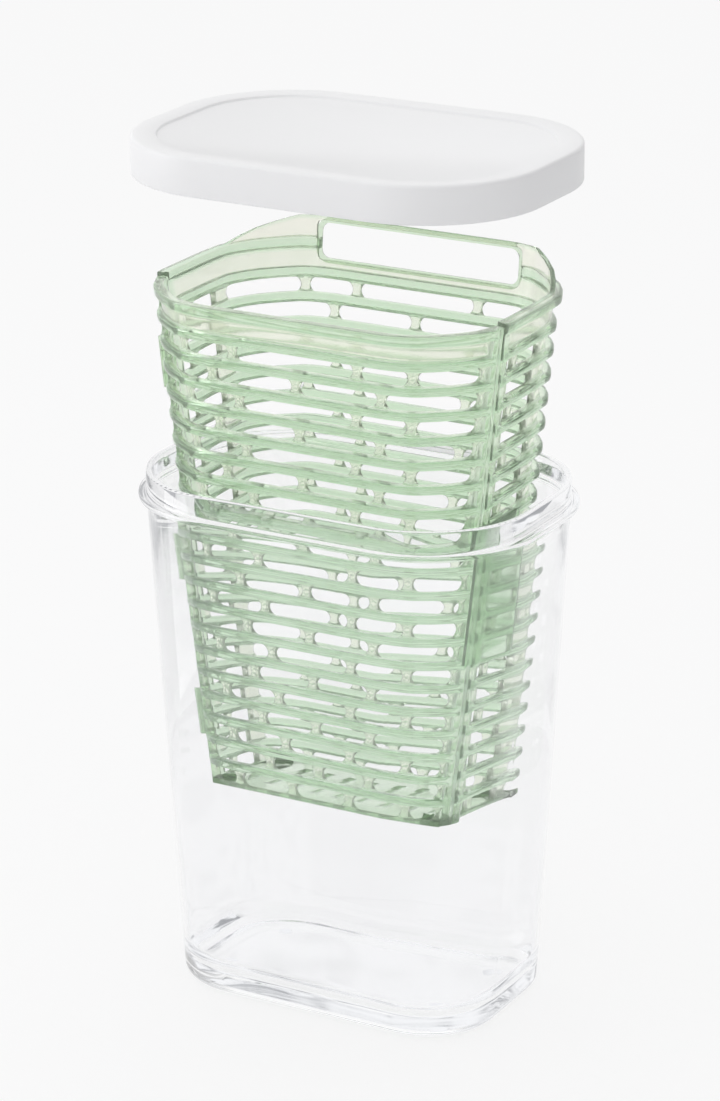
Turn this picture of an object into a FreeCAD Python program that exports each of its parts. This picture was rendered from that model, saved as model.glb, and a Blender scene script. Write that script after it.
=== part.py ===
import FreeCAD, Part
import math
import os
import Sketcher
from FreeCAD import Placement, Rotation, Vector

# Herb keeper in millimetres, +Z up, the long side along X.
# The origin is the middle of the container's foot, on the surface it stands on.
# It is drawn as it is shown: the basket lifted half out and the lid held above it.
# Basket heights are measured from the basket's own underside.

SIZES = {
    # clear container
    "foot_lift": 0.8,
    "base_width": 150.2,
    "base_depth": 98.3,
    "base_corner": 33.0,
    "shoulder_width": 177.4,
    "shoulder_depth": 124.1,
    "shoulder_corner": 48.1,
    "shoulder_height": 222.8,
    "collar_height": 12.2,
    "container_wall": 2.6,
    "floor_thickness": 6.7,
    "floor_fillet": 13.0,
    "base_fillet": 5.0,
    "flange_reach": 3.4,
    "flange_thickness": 2.6,
    "foot_radius": 3.0,
    "foot_inset_x": 24.0,
    "foot_inset_y": 24.0,
    # lid
    "lid_height": 16.4,
    "lid_wall": 2.4,
    "lid_collar_gap": 1.0,
    "lid_panel_thickness": 1.7,
    "lid_recess": 1.0,
    "lid_border": 11.0,
    "lid_edge_round": 1.2,
    "lid_seat_gap": 0.3,
    "lid_travel": 138.6,
    # basket
    "basket_base_width": 113.0,
    "basket_base_depth": 63.5,
    "basket_base_corner": 11.0,
    "basket_top_width": 160.0,
    "basket_top_depth": 110.5,
    "basket_top_corner": 39.0,
    "basket_wall_height": 214.9,
    "basket_wall": 2.0,
    "basket_floor": 2.4,
    "basket_edge_round": 2.0,
    "basket_seat_gap": 0.3,
    "basket_travel": 88.7,
    "ring_pitch": 10.82,
    "ring_thickness": 4.2,
    "ring_reach": 2.5,
    "lowest_ring": 11.3,
    "ring_count": 19,
    "rim_bead_height": 4.6,
    "rim_round": 1.2,
    "rear_rim_rise": 1.5,
    "rear_rim_reach": 3.5,
    "bridge_width": 4.2,
    "inner_bridge_low": 13.4,
    "inner_bridge_high": 30.6,
    "middle_bridge_low": 22.6,
    "middle_bridge_high": 42.3,
    "outer_bridge_low": 39.5,
    "outer_bridge_high": 55.5,
    "front_slot_wrap": 0.73,
    "rear_slot_wrap": 0.9,
    "side_slot_short": 5.5,
    "side_slot_long": 14.0,
    "side_slot_middle": 18.0,
    "side_bridge": 8.0,
    "side_slot_stagger": 6.5,
    "side_slot_margin": 0.5,
    "drain_slot_width": 4.0,
    "drain_slot_length": 17.0,
    "drain_slot_pitch": 11.0,
    "drain_slot_gap": 5.0,
    "drain_slot_count": 9,
    "seam_setback": 24.0,
    "seam_gap": 0.3,
    "seam_column": 5.0,
    "column_reach": 2.8,
    "handle_rise": 16.1,
    "handle_reach_forward": 26.0,
    "handle_slope_run": 22.0,
    "handle_slope_rise": 10.5,
    "handle_round": 20.0,
    "grip_width": 96.0,
    "grip_height": 15.5,
    "grip_bar": 2.8,
    "grip_corner": 4.0,
    # latch plate and hinges
    "latch_length": 26.0,
    "latch_height": 58.0,
    "latch_low": 76.0,
    "latch_thickness": 2.0,
    "hinge_low": 22.0,
    "hinge_spacing": 74.5,
    "hinge_length": 22.0,
    "lug_length": 6.0,
    "barrel_radius": 2.0,
    "barrel_offset": 0.7,
    "pin_radius": 1.0,
    "hinge_clearance": 0.15,
}

doc = FreeCAD.newDocument("herb_keeper")
sheet = doc.addObject("Spreadsheet::Sheet", "Sizes")
for row, (alias, value) in enumerate(SIZES.items(), start=1):
    sheet.set(f"A{row}", alias)
    sheet.set(f"B{row}", str(value))
    sheet.setAlias(f"B{row}", alias)
doc.recompute()


def size(alias):
    return float(sheet.get(alias))


def origin_plane(body, role):
    return next(f for f in body.Origin.OriginFeatures if f.Role == role)


# A rounded rectangle sketch, centred on the origin, at a height bound to the sheet.
def outline_sketch(body, name, width, depth, corner, height):
    sketch = body.newObject("Sketcher::SketchObject", name)
    sketch.AttachmentSupport = (origin_plane(body, "XY_Plane"), [""])
    sketch.MapMode = "FlatFace"
    half_x, half_y, r = 80.0, 50.0, 20.0
    flat_x, flat_y = half_x - r, half_y - r
    lines = [
        ((-flat_x, -half_y), (flat_x, -half_y)),
        ((half_x, -flat_y), (half_x, flat_y)),
        ((flat_x, half_y), (-flat_x, half_y)),
        ((-half_x, flat_y), (-half_x, -flat_y)),
    ]
    centres = [(flat_x, -flat_y), (flat_x, flat_y), (-flat_x, flat_y), (-flat_x, -flat_y)]
    for (start, end), centre, quarter in zip(lines, centres, (3, 0, 1, 2)):
        sketch.addGeometry(Part.LineSegment(Vector(*start, 0), Vector(*end, 0)), False)
        circle = Part.Circle(Vector(*centre, 0), Vector(0, 0, 1), r)
        turn = quarter * math.pi / 2
        sketch.addGeometry(Part.ArcOfCircle(circle, turn, turn + math.pi / 2), False)
    for side in range(4):
        line, arc, following = 2 * side, 2 * side + 1, (2 * side + 2) % 8
        sketch.addConstraint(Sketcher.Constraint("Tangent", line, 2, arc, 1))
        sketch.addConstraint(Sketcher.Constraint("Tangent", arc, 2, following, 1))
    for line, kind in ((0, "Horizontal"), (2, "Vertical"), (4, "Horizontal"), (6, "Vertical")):
        sketch.addConstraint(Sketcher.Constraint(kind, line))
    for arc in (3, 5, 7):
        sketch.addConstraint(Sketcher.Constraint("Equal", 1, arc))
    sketch.addConstraint(Sketcher.Constraint("Symmetric", 1, 3, 5, 3, -1, 1))
    across = sketch.addConstraint(Sketcher.Constraint("DistanceX", 6, 1, 2, 1, 2 * half_x))
    along = sketch.addConstraint(Sketcher.Constraint("DistanceY", 0, 1, 4, 1, 2 * half_y))
    bend = sketch.addConstraint(Sketcher.Constraint("Radius", 1, r))
    sketch.setExpression(f"Constraints[{across}]", width)
    sketch.setExpression(f"Constraints[{along}]", depth)
    sketch.setExpression(f"Constraints[{bend}]", corner)
    sketch.setExpression("AttachmentOffset.Base.z", height)
    return sketch


def pad(body, name, sketch, length):
    feature = body.newObject("PartDesign::Pad", name)
    feature.Profile = sketch
    feature.setExpression("Length", length)
    return feature


def loft(body, kind, name, sketches):
    feature = body.newObject("PartDesign::" + kind, name)
    feature.Profile = sketches[0]
    feature.Sections = sketches[1:]
    feature.Ruled = True
    return feature


def fillet(body, name, edges, radius):
    base = body.Tip
    feature = body.newObject("PartDesign::Fillet", name)
    feature.Base = (base, edges)
    feature.setExpression("Radius", radius)
    body.Tip = feature
    doc.recompute()


# A pocket or groove that points the wrong way cuts nothing, so the volume is compared.
def cut_with(body, feature, least_share):
    before = body.Shape.Volume
    body.Tip = feature
    doc.recompute()
    if body.Shape.Volume > (1 - least_share) * before:
        raise RuntimeError(f"{feature.Name} cuts nothing")


# Edges of a shape that lie level at a height and reach at least so far from the middle.
def level_edges(shape, height, least_reach):
    names = []
    for number, edge in enumerate(shape.Edges, start=1):
        box = edge.BoundBox
        level = abs(box.ZMin - height) < 0.01 and abs(box.ZMax - height) < 0.01
        reach = max(abs(box.XMin), abs(box.XMax)) / size("shoulder_width")
        reach = max(reach, max(abs(box.YMin), abs(box.YMax)) / size("shoulder_depth"))
        if level and reach >= least_reach:
            names.append(f"Edge{number}")
    return names


# Width, depth and corner of the container's tapered outside at a height, less an inset.
def tapered(height, inset):
    share = f"(({height} - Sizes.foot_lift) / (Sizes.shoulder_height - Sizes.foot_lift))"
    result = []
    for key, sides in (("width", 2), ("depth", 2), ("corner", 1)):
        growth = f"(Sizes.shoulder_{key} - Sizes.base_{key})"
        result.append(f"Sizes.base_{key} + {growth} * {share} - {sides} * ({inset})")
    return result


# Sketches that step round a quarter circle from a flat bottom into the tapered wall.
def rounded_bottom(body, name, bottom, radius, wall):
    sketches = []
    for step in range(4):
        turn = step * 30
        height = f"({bottom} + {radius} * (1 - cos({turn} deg)))"
        inset = f"({wall} + {radius} * (1 - sin({turn} deg)))"
        outline = tapered(height, inset)
        sketches.append(outline_sketch(body, f"{name}_{turn}", *outline, height))
    return sketches


# Binds a foot's circle to its corner of the base.
def place_circle(sketch, circle, side_x, side_y):
    radius = sketch.addConstraint(Sketcher.Constraint("Radius", circle, 3.0))
    across = sketch.addConstraint(Sketcher.Constraint("DistanceX", -1, 1, circle, 3, 50 * side_x))
    along = sketch.addConstraint(Sketcher.Constraint("DistanceY", -1, 1, circle, 3, 25 * side_y))
    sketch.setExpression(f"Constraints[{radius}]", "Sizes.foot_radius")
    reach_x = f"{side_x} * (Sizes.base_width / 2 - Sizes.foot_inset_x)"
    reach_y = f"{side_y} * (Sizes.base_depth / 2 - Sizes.foot_inset_y)"
    sketch.setExpression(f"Constraints[{across}]", reach_x)
    sketch.setExpression(f"Constraints[{along}]", reach_y)


# The clear container: one tapered moulding with a thick floor, a flange and a collar.
def make_container():
    body = doc.addObject("PartDesign::Body", "container")
    outside = rounded_bottom(body, "outside", "Sizes.foot_lift", "Sizes.base_fillet", "0")
    shoulder = tapered("Sizes.shoulder_height", "0")
    outside.append(outline_sketch(body, "outside_shoulder", *shoulder, "Sizes.shoulder_height"))
    loft(body, "AdditiveLoft", "tapered_wall", outside)
    collar = outline_sketch(body, "collar_outline", *shoulder, "Sizes.shoulder_height")
    pad(body, "collar", collar, "Sizes.collar_height")
    flange = outline_sketch(
        body, "flange_outline", *tapered("Sizes.shoulder_height", "-Sizes.flange_reach"),
        "Sizes.shoulder_height")
    pad(body, "flange", flange, "Sizes.flange_thickness")
    doc.recompute()
    floor_top = "Sizes.foot_lift + Sizes.floor_thickness"
    inside = rounded_bottom(
        body, "inside", floor_top, "Sizes.floor_fillet", "Sizes.container_wall")
    bore = tapered("Sizes.shoulder_height", "Sizes.container_wall")
    inside.append(outline_sketch(body, "inside_shoulder", *bore, "Sizes.shoulder_height"))
    cut_with(body, loft(body, "SubtractiveLoft", "cavity", inside), 0.5)
    mouth = outline_sketch(body, "mouth", *bore, "Sizes.shoulder_height")
    opening = body.newObject("PartDesign::Pocket", "collar_bore")
    opening.Profile = mouth
    opening.Reversed = True
    opening.setExpression("Length", "Sizes.collar_height")
    cut_with(body, opening, 0.1)
    feet = body.newObject("Sketcher::SketchObject", "feet_outline")
    feet.AttachmentSupport = (origin_plane(body, "XY_Plane"), [""])
    feet.MapMode = "FlatFace"
    for side_x in (1, -1):
        for side_y in (1, -1):
            centre = Vector(50 * side_x, 25 * side_y, 0)
            circle = feet.addGeometry(Part.Circle(centre, Vector(0, 0, 1), 3.0), False)
            place_circle(feet, circle, side_x, side_y)
    body.Tip = pad(body, "feet", feet, "Sizes.foot_lift")
    doc.recompute()
    return body


# The lid: a shallow cap whose skirt drops over the collar, with a recessed top panel.
def make_lid():
    body = doc.addObject("PartDesign::Body", "lid")
    outer_reach = "-(Sizes.lid_collar_gap + Sizes.lid_wall)"
    outer = tapered("Sizes.shoulder_height", outer_reach)
    skirt = outline_sketch(body, "skirt_outline", *outer, "0")
    pad(body, "cap", skirt, "Sizes.lid_height")
    doc.recompute()
    fillet(body, "top_edge", level_edges(body.Tip.Shape, size("lid_height"), 0.1),
           "Sizes.lid_edge_round")
    inner = tapered("Sizes.shoulder_height", "-Sizes.lid_collar_gap")
    hollow = body.newObject("PartDesign::Pocket", "underside")
    hollow.Profile = outline_sketch(body, "underside_outline", *inner, "0")
    hollow.Reversed = True
    hollow.setExpression(
        "Length", "Sizes.lid_height - Sizes.lid_recess - Sizes.lid_panel_thickness")
    cut_with(body, hollow, 0.5)
    panel = tapered("Sizes.shoulder_height", outer_reach + " + Sizes.lid_border")
    recess = body.newObject("PartDesign::Pocket", "top_recess")
    recess.Profile = outline_sketch(body, "panel_outline", *panel, "Sizes.lid_height")
    recess.setExpression("Length", "Sizes.lid_recess")
    cut_with(body, recess, 0.1)
    body.setExpression(
        "Placement.Base.z",
        "Sizes.shoulder_height + Sizes.flange_thickness + Sizes.lid_seat_gap + Sizes.lid_travel")
    doc.recompute()
    return body


# A closed rounded rectangle of lines and arcs, centred on the Z axis.
def rounded_wire(width, depth, corner, height):
    flat_x, flat_y = width / 2 - corner, depth / 2 - corner
    edges = []
    for quarter in range(4):
        sign_x = (1, 1, -1, -1)[quarter]
        sign_y = (-1, 1, 1, -1)[quarter]
        centre = Vector(sign_x * flat_x, sign_y * flat_y, height)
        turn = (quarter - 1) * math.pi / 2
        corner_points = []
        for step in (0, math.pi / 4, math.pi / 2):
            reach = Vector(math.cos(turn + step), math.sin(turn + step), 0)
            corner_points.append(centre + reach * corner)
        if edges:
            edges.append(Part.makeLine(last, corner_points[0]))
        else:
            first = corner_points[0]
        edges.append(Part.Arc(*corner_points).toShape())
        last = corner_points[2]
    edges.append(Part.makeLine(last, first))
    return Part.Wire(edges)


# Width, depth and corner of the basket wall's outside at a height, moved out by an offset.
def basket_outline(height, offset=0.0):
    share = height / size("basket_wall_height")
    width, depth, corner = (
        size(f"basket_base_{key}")
        + (size(f"basket_top_{key}") - size(f"basket_base_{key}")) * share
        for key in ("width", "depth", "corner"))
    return width + 2 * offset, depth + 2 * offset, corner + offset


def basket_loft(profile):
    return Part.makeLoft([rounded_wire(*basket_outline(z, out), z) for z, out in profile], True, True)


def ring_middle(ring):
    return size("lowest_ring") + ring * size("ring_pitch")


# The basket's outside from its underside up: rings on a tapered wall, then the rim bead.
def ringed_profile(rim_rise, rim_reach):
    reach, half = size("ring_reach"), size("ring_thickness") / 2
    edge, rim_edge = size("basket_edge_round"), size("rim_round")
    profile = []
    for turn in (0, math.pi / 4, math.pi / 2):
        profile.append((edge * (1 - math.cos(turn)), -edge * (1 - math.sin(turn))))
    for ring in range(int(size("ring_count"))):
        for step in range(-2, 3):
            turn = step * math.pi / 4
            profile.append((ring_middle(ring) + half * math.sin(turn), reach * math.cos(turn)))
    low = size("basket_wall_height") + rim_rise
    high = low + size("rim_bead_height")
    profile += [(low, 0), (low + rim_edge, rim_reach), (high - rim_edge, rim_reach)]
    return profile + [(high, rim_reach - rim_edge)]


def box_between(low, high):
    return Part.makeBox(*(b - a for a, b in zip(low, high)), Vector(*low))


# Beyond everything, and how far a cutting solid runs past the faces that it opens.
FAR = 400.0
PAST = 2.0


# The rows of slots lie between the rings, and one more lies under the lowest ring.
def slot_rows():
    return range(-1, int(size("ring_count")) - 1)


# Cutting solid of one slot, along the wall from one distance to another off its middle.
def slot_tool(start, end, middle, side_x, side_y):
    inward, outward = -size("basket_wall") - PAST, size("ring_reach") + PAST
    width, depth, corner = basket_outline(middle)
    flat_x, flat_y = width / 2 - corner, depth / 2 - corner
    low = middle - (size("ring_pitch") - size("ring_thickness")) / 2

    def point(along, offset):
        if along <= flat_x:
            x, y = along, depth / 2 + offset
        else:
            turn = (along - flat_x) / corner
            x = flat_x + (corner + offset) * math.sin(turn)
            y = flat_y + (corner + offset) * math.cos(turn)
        return Vector(side_x * x, side_y * y, low)

    def path(offset):
        edges = []
        if start < flat_x:
            edges.append(Part.makeLine(point(start, offset), point(min(end, flat_x), offset)))
        if end > flat_x:
            bend = max(start, flat_x)
            arc = [point(along, offset) for along in (bend, (bend + end) / 2, end)]
            edges.append(Part.Arc(*arc).toShape())
        return edges

    sides = [Part.makeLine(point(a, inward), point(a, outward)) for a in (start, end)]
    wire = Part.Wire(Part.__sortEdges__(path(inward) + path(outward) + sides))
    rise = Vector(0, 0, size("ring_pitch") - size("ring_thickness"))
    return Part.Face(wire).extrude(rise)


# Where the slots of one row begin and end, from the middle of the wall out to one side.
def slot_spans(middle, staggered, wrap):
    share = middle / size("basket_wall_height")
    half = size("bridge_width") / 2
    width, _, corner = basket_outline(middle)
    last = width / 2 - corner + wrap * corner * math.pi / 2

    def bridge(name):
        low, high = size(f"{name}_bridge_low"), size(f"{name}_bridge_high")
        return low + (high - low) * share

    if staggered:
        marks, begin = [bridge("inner"), bridge("outer")], 0
    else:
        marks, begin = [bridge("middle")], half
    spans = []
    for mark in marks:
        spans.append((begin, mark - half))
        begin = mark + half
    spans.append((begin, last))
    return spans


def wall_slots(side_y, wrap):
    tools = []
    for row in slot_rows():
        middle = ring_middle(row) + size("ring_pitch") / 2
        for start, end in slot_spans(middle, row % 2 == 1, wrap):
            if start == 0:
                tools.append(slot_tool(-end, end, middle, 1, side_y))
            else:
                tools += [slot_tool(start, end, middle, side_x, side_y) for side_x in (1, -1)]
    return tools


# Square slots in the basket's two side walls, in staggered columns behind the seam.
def side_slots():
    tools = []
    first = -size("seam_setback") + size("seam_column") + size("side_slot_margin")
    rise = size("ring_pitch") - size("ring_thickness")
    for row in slot_rows():
        low = ring_middle(row) + size("ring_thickness") / 2
        if row % 2 == 1:
            second = first + size("side_slot_short") + size("side_bridge")
            spans = [(first, size("side_slot_short")), (second, size("side_slot_long"))]
        else:
            spans = [(first + size("side_slot_stagger"), size("side_slot_middle"))]
        inner = basket_outline(low)[0] / 2 - size("basket_wall") - PAST
        for start, length in spans:
            end = start + length
            tools.append(box_between((inner, start, low), (FAR, end, low + rise)))
            tools.append(box_between((-FAR, start, low), (-inner, end, low + rise)))
    return tools


# The panel that rises at the back and carries the grip, before the wall is hollowed.
# Seen from the side, its edge slopes up from the rim and rounds into the level top.
def handle_panel():
    top = size("basket_wall_height") + size("handle_rise")
    low = size("basket_wall_height") - size("ring_thickness")
    front, bend = size("handle_reach_forward"), size("handle_round")
    turn = math.atan(size("handle_slope_rise") / size("handle_slope_run"))
    crest = front + size("handle_slope_run")
    reach = bend * math.tan(turn / 2)
    before = (crest - reach * math.cos(turn), top - reach * math.sin(turn))
    middle = (crest + reach - bend * math.sin(turn / 2), top - bend * (1 - math.cos(turn / 2)))
    corners = [(front, low), (front, top - size("handle_slope_rise")), before,
               middle, (crest + reach, top), (FAR, top), (FAR, low), (front, low)]
    points = [Vector(-FAR, y, z) for y, z in corners]
    edges = [Part.makeLine(*points[0:2]), Part.makeLine(*points[1:3]), Part.Arc(*points[2:5]).toShape()]
    edges += [Part.makeLine(a, b) for a, b in zip(points[4:], points[5:])]
    mask = Part.Face(Part.Wire(edges)).extrude(Vector(2 * FAR, 0, 0))
    return basket_loft([(low, 0), (top, 0)]).common(mask)


def grip_tool():
    top = size("basket_wall_height") + size("handle_rise") - size("grip_bar")
    low = top - size("grip_height")
    wire = rounded_wire(size("grip_width"), size("grip_height"), size("grip_corner"), 0)
    face = Part.Face(wire)
    face.rotate(Vector(0, 0, 0), Vector(1, 0, 0), 90)
    face.translate(Vector(0, 0, (low + top) / 2))
    return face.extrude(Vector(0, FAR, 0))


# Slots through the basket's floor that let the water in from below.
def drain_slots():
    tools = []
    count = int(size("drain_slot_count"))
    width, length = size("drain_slot_width"), size("drain_slot_length")
    for number in range(count):
        x = (number - (count - 1) / 2) * size("drain_slot_pitch")
        for start in (-length - size("drain_slot_gap") / 2, size("drain_slot_gap") / 2):
            high = (x + width / 2, start + length, size("basket_floor") + PAST)
            tools.append(box_between((x - width / 2, start, -PAST), high))
    return tools


# Half of the ringed wall with its seam columns and hollow, before any slot is cut.
def ringed_half(rim_rise, rim_reach, near, far, extra):
    rim = size("basket_wall_height") + rim_rise
    out = size("column_reach")
    edge = size("basket_edge_round")
    column = basket_loft([(0, out - edge), (edge, out), (rim + edge, out)])
    seam, width = -size("seam_setback"), size("seam_column")
    near_column, far_column = max(near, seam - width), min(far, seam + width)
    column = column.common(box_between((-FAR, near_column, -FAR), (FAR, far_column, FAR)))
    solid = basket_loft(ringed_profile(rim_rise, rim_reach))
    solid = solid.common(box_between((-FAR, near, -FAR), (FAR, far, FAR)))
    solid = solid.fuse([column, *extra])
    top = size("basket_wall_height") + 2 * size("handle_rise")
    wall = -size("basket_wall")
    return solid.cut(basket_loft([(size("basket_floor"), wall), (top, wall)]))


# A point on the hinge line: it leans with the wall, at the seam on the left side.
def hinge_point(height):
    reach = basket_outline(height)[0] / 2 + size("column_reach") + size("barrel_offset")
    return Vector(-reach, -size("seam_setback"), height)


def hinge_axis():
    return (hinge_point(1) - hinge_point(0)).normalize()


def hinge_lows():
    return [size("hinge_low") + number * size("hinge_spacing") for number in range(3)]


def hinge_cylinder(low, start, length, radius):
    return Part.makeCylinder(radius, length, hinge_point(low) + hinge_axis() * start, hinge_axis())


# Parts of each hinge barrel: two lugs belong to the rear half, the middle to the front.
def lug_spans(slack):
    lug, whole = size("lug_length"), size("hinge_length")
    return [(-slack, lug + 2 * slack), (whole - lug - slack, lug + 2 * slack)]


def knuckle_spans(slack):
    gap = size("seam_gap")
    start = size("lug_length") + gap
    length = size("hinge_length") - 2 * start
    return [(start - slack, length + 2 * slack)]


def barrels(spans, radius):
    return [hinge_cylinder(low, start, length, radius)
            for low in hinge_lows() for start, length in spans]


# Adds a half's own barrels, clears room for the other half's and bores them all.
def fit_hinges(half, own, other):
    gap = size("seam_gap")
    half = half.cut(barrels(other, size("barrel_radius") + gap))
    half = half.fuse(barrels(own, size("barrel_radius")))
    slack = size("hinge_clearance")
    bore = [(-slack, size("hinge_length") + 2 * slack)]
    return half.cut(barrels(bore, size("pin_radius") + slack))


# The spring plate on the right side: rooted on the front half, lying over the rear half.
def latch_plate():
    inside = size("column_reach") + size("seam_gap")
    outside = inside + size("latch_thickness")
    low, high = size("latch_low"), size("latch_low") + size("latch_height")
    root = -size("seam_setback") - size("seam_column")
    seam = -size("seam_setback") - size("seam_gap") / 2
    end = -size("seam_setback") + size("seam_gap") + size("latch_length")
    slab = basket_loft([(low, outside), (high, outside)])
    space = basket_loft([(low - PAST, inside), (high + PAST, inside)])
    space = space.common(box_between((0, seam, -FAR), (FAR, FAR, FAR)))
    core = basket_loft([(low - PAST, 0), (high + PAST, 0)])
    blank = box_between((0, root, low), (FAR, end, high))
    edges = [edge for edge in blank.Edges
             if abs(edge.BoundBox.YMin - end) < PAST and edge.BoundBox.XLength > PAST]
    blank = blank.makeFillet(size("grip_corner"), edges)
    return slab.common(blank).cut([space, core])


def front_half():
    seam = -size("seam_setback") - size("seam_gap") / 2
    half = ringed_half(0, size("ring_reach"), -FAR, seam, [latch_plate()])
    half = half.cut(wall_slots(-1, size("front_slot_wrap")))
    return fit_hinges(half, knuckle_spans(0), lug_spans(size("seam_gap")))


def rear_half():
    seam = -size("seam_setback") + size("seam_gap") / 2
    half = ringed_half(
        size("rear_rim_rise"), size("rear_rim_reach"), seam, FAR, [handle_panel()])
    tools = wall_slots(1, size("rear_slot_wrap")) + side_slots() + drain_slots()
    half = half.cut(tools + [grip_tool()])
    return fit_hinges(half, lug_spans(0), knuckle_spans(size("seam_gap")))


def basket_place():
    floor_top = size("foot_lift") + size("floor_thickness")
    height = floor_top + size("basket_seat_gap") + size("basket_travel")
    return Placement(Vector(0, 0, height), Rotation())


def make_basket_half(label, shape):
    half = doc.addObject("Part::Feature", label)
    half.Shape = shape
    half.Placement = basket_place()
    return half


# The three hinge pins stand on the leaning hinge line.
def make_pins():
    pins = []
    turn = Rotation(Vector(0, 0, 1), hinge_axis())
    for name, low in zip(("lower", "middle", "upper"), hinge_lows()):
        pin = doc.addObject("Part::Cylinder", f"hinge_pin_{name}")
        pin.setExpression("Radius", "Sizes.pin_radius")
        pin.setExpression("Height", "Sizes.hinge_length")
        pin.Placement = Placement(basket_place().Base + hinge_point(low), turn)
        pins.append(pin)
    return pins


parts = [
    make_container(),
    make_lid(),
    make_basket_half("basket_front", front_half()),
    make_basket_half("basket_rear", rear_half()),
    *make_pins(),
]
doc.recompute()

failed = [thing.Name for thing in doc.Objects if "Invalid" in thing.State or "Error" in thing.State]
if failed:
    raise RuntimeError(f"these did not build: {failed}")
for part in parts:
    shape = part.Shape
    if shape.isNull() or not shape.isValid() or len(shape.Solids) != 1:
        raise RuntimeError(f"{part.Label} is not one sound solid")
os.makedirs("parts", exist_ok=True)
for part in parts:
    part.Shape.exportStep(f"parts/{part.Label}.step")
    print(part.Label, len(part.Shape.Faces), "faces,", round(part.Shape.Volume), "mm3")
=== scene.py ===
import math

import bmesh
import bpy
from mathutils import Matrix, Vector


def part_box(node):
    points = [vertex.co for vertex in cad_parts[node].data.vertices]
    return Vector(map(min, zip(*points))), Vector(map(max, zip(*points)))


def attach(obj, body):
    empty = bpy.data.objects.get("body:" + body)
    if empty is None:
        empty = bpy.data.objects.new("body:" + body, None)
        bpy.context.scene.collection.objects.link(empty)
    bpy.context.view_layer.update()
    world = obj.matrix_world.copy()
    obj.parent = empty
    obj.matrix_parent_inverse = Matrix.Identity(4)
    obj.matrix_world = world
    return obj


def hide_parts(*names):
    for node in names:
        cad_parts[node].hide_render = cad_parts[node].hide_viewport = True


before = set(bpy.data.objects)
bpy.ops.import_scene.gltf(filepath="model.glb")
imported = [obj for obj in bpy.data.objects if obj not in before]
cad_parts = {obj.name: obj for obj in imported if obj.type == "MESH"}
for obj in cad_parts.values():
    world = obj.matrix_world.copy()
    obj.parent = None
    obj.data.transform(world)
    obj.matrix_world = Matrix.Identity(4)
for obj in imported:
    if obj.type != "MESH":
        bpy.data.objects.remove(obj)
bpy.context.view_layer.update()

# The container is one clear, thick-floored injection moulding. It tapers down to a rounded
# foot, and near its mouth a thin flange runs round it, which the lid's skirt comes down on.
MM = 0.001
container_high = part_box("container")[1]
FLANGE_REACH = 3.4 * MM
FLANGE_THICKNESS = 2.6 * MM
SHOULDER = Vector(container_high) * 2 - Vector((1, 1, 0)) * 2 * FLANGE_REACH
SHOULDER_CORNER = 48.1 * MM
SHOULDER_HEIGHT = 222.8 * MM
RIM_HEIGHT = container_high[2]
BASE = Vector((150.2, 98.3, 0)) * MM
BASE_CORNER = 33.0 * MM
FOOT_LIFT = 0.8 * MM
BASE_ROUND = 5.0 * MM
CONTAINER_WALL = 2.6 * MM
FLOOR_TOP = 7.5 * MM
FLOOR_ROUND = 13.0 * MM
BASE_STEPS, FLOOR_STEPS, CORNER_STEPS = 8, 14, 20
FOOT_RADIUS = 3.0 * MM
FOOT_TAPER = 0.85
FOOT_INSET = 24.0 * MM


# Width, depth and corner radius of the container's outside at a height, less an inset.
def container_outline(height, inset=0.0):
    share = (min(height, SHOULDER_HEIGHT) - FOOT_LIFT) / (SHOULDER_HEIGHT - FOOT_LIFT)
    size = BASE.lerp(SHOULDER, share)
    corner = BASE_CORNER + (SHOULDER_CORNER - BASE_CORNER) * share
    return size.x - 2 * inset, size.y - 2 * inset, corner - inset


# A level rounded rectangle: four corners of a plane, each rounded with a vertex bevel.
def rounded_face(bm, outline, height, steps=CORNER_STEPS):
    width, depth, corner = outline
    corners = bmesh.ops.create_grid(bm, x_segments=1, y_segments=1, size=0.5)["verts"]
    bmesh.ops.scale(bm, vec=(width, depth, 1), verts=corners)
    bmesh.ops.translate(bm, vec=(0, 0, height), verts=corners)
    bmesh.ops.bevel(bm, geom=corners, offset=corner, segments=steps, profile=0.5,
                    affect="VERTICES", material=-1)


# Carries a rounded ring from one outline to the next, corner by corner.
def reshape(verts, old, new, height):
    for vert in verts:
        for axis in (0, 1):
            side = math.copysign(1, vert.co[axis])
            from_corner = vert.co[axis] - side * (old[axis] / 2 - old[2])
            vert.co[axis] = side * (new[axis] / 2 - new[2]) + from_corner * new[2] / old[2]
        vert.co.z = height


# A closed moulding drawn as one profile: rings of rounded rectangles, joined one to the next.
def moulded(name, profile, outline_at, steps=CORNER_STEPS, closed=False):
    bm = bmesh.new()
    height, inset = profile[0]
    outline = outline_at(height, inset)
    rounded_face(bm, outline, height, steps)
    cap, first = list(bm.faces), list(bm.edges)
    edges = first
    for height, inset in profile[1:]:
        following = outline_at(height, inset)
        made = bmesh.ops.extrude_edge_only(bm, edges=edges)["geom"]
        ring = [part for part in made if isinstance(part, bmesh.types.BMVert)]
        edges = [part for part in made if isinstance(part, bmesh.types.BMEdge)
                 and all(vert in ring for vert in part.verts)]
        reshape(ring, outline, following, height)
        outline = following
    if closed:
        bmesh.ops.delete(bm, geom=cap, context="FACES_ONLY")
        bmesh.ops.bridge_loops(bm, edges=first + edges)
    else:
        bmesh.ops.contextual_create(bm, geom=edges)
    bmesh.ops.recalc_face_normals(bm, faces=bm.faces)
    return finished(bm, name)


def finished(bm, name, smooth=True):
    mesh = bpy.data.meshes.new(name)
    bm.to_mesh(mesh)
    bm.free()
    for polygon in mesh.polygons:
        polygon.use_smooth = smooth
    piece = bpy.data.objects.new(name, mesh)
    bpy.context.scene.collection.objects.link(piece)
    return piece


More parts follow.
